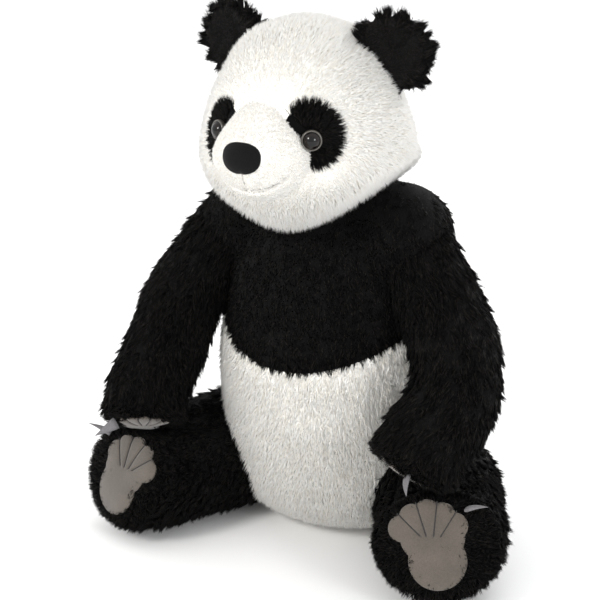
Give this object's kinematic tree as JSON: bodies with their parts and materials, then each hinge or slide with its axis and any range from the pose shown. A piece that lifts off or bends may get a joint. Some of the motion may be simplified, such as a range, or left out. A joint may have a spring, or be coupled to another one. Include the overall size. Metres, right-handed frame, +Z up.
{
  "type": "plush panda",
  "caption": "Large seated stuffed panda toy with soft limbs that lift and splay, a head that turns and nods, suede paw pads and felt claws.",
  "frame": {"origin": "middle of the flat seat, on the surface it sits on", "axes": "+Z up, the panda faces -Y, its own left side is +X"},
  "size_m": [0.4606, 0.3886, 0.5556],
  "materials": {
    "stuffing": "loose polyester fibre fill",
    "black_pile": "long black plush pile with a low sheen",
    "white_pile": "long white plush pile",
    "short_white_pile": "short clipped white pile",
    "nose_felt": "dense black flocked felt",
    "mouth_thread": "pale embroidery thread",
    "thread": "black sewing thread",
    "eye_ring_plastic": "gloss moulded plastic",
    "eye_plastic": "polished clear-coated plastic",
    "washer_plastic": "plain moulded plastic",
    "pad_suede": "taupe sueded short nap",
    "claw_felt": "grey pressed felt"
  },
  "bodies": {
    "root": {"torso_stuffing": "stuffing", "yoke_skin": "black_pile", "belly_skin": "white_pile", "tail": "black_pile", "closing_seam": "thread"},
    "neck": {"neck_stuffing": "stuffing"},
    "head": {"head_stuffing": "stuffing", "muzzle_stuffing": "stuffing", "head_skin": "white_pile", "muzzle_skin": "short_white_pile", "nose": "nose_felt", "mouth_stitching": "mouth_thread", "eye_patch_left": "black_pile", "eye_back_left": "eye_ring_plastic", "eye_lens_left": "eye_plastic", "eye_washer_left": "washer_plastic", "ear_left": "black_pile", "eye_patch_right": "black_pile", "eye_back_right": "eye_ring_plastic", "eye_lens_right": "eye_plastic", "eye_washer_right": "washer_plastic", "ear_right": "black_pile"},
    "arm_left": {"arm_stuffing_left": "stuffing", "arm_skin_left": "black_pile", "palm_pad_left": "pad_suede", "palm_stitching_left": "thread", "palm_claws_left": "claw_felt"},
    "leg_left": {"leg_stuffing_left": "stuffing", "leg_skin_left": "black_pile", "sole_pad_left": "pad_suede", "sole_stitching_left": "thread", "foot_claws_left": "claw_felt"},
    "arm_right": {"arm_stuffing_right": "stuffing", "arm_skin_right": "black_pile", "palm_pad_right": "pad_suede", "palm_stitching_right": "thread", "palm_claws_right": "claw_felt"},
    "leg_right": {"leg_stuffing_right": "stuffing", "leg_skin_right": "black_pile", "sole_pad_right": "pad_suede", "sole_stitching_right": "thread", "foot_claws_right": "claw_felt"}
  },
  "joints": [
    {"name": "neck_turn", "type": "hinge", "parent": "root", "child": "neck", "pos_m": [0, -0.084, 0.322], "axis": [0, 0, 1], "range_deg": [-30, 30]},
    {"name": "head_nod", "type": "hinge", "parent": "neck", "child": "head", "pos_m": [0, -0.084, 0.322], "axis": [1, 0, 0], "range_deg": [-10, 12]},
    {"name": "shoulder_left", "type": "hinge", "parent": "root", "child": "arm_left", "pos_m": [0.098, -0.06, 0.32], "axis": [-1, 0, 0], "range_deg": [0, 80]},
    {"name": "shoulder_right", "type": "hinge", "parent": "root", "child": "arm_right", "pos_m": [-0.098, -0.06, 0.32], "axis": [-1, 0, 0], "range_deg": [0, 80]},
    {"name": "hip_left", "type": "hinge", "parent": "root", "child": "leg_left", "pos_m": [0.094, -0.022, 0.066], "axis": [0, 0, 1], "range_deg": [0, 14]},
    {"name": "hip_right", "type": "hinge", "parent": "root", "child": "leg_right", "pos_m": [-0.094, -0.022, 0.066], "axis": [0, 0, -1], "range_deg": [0, 14]}
  ]
}
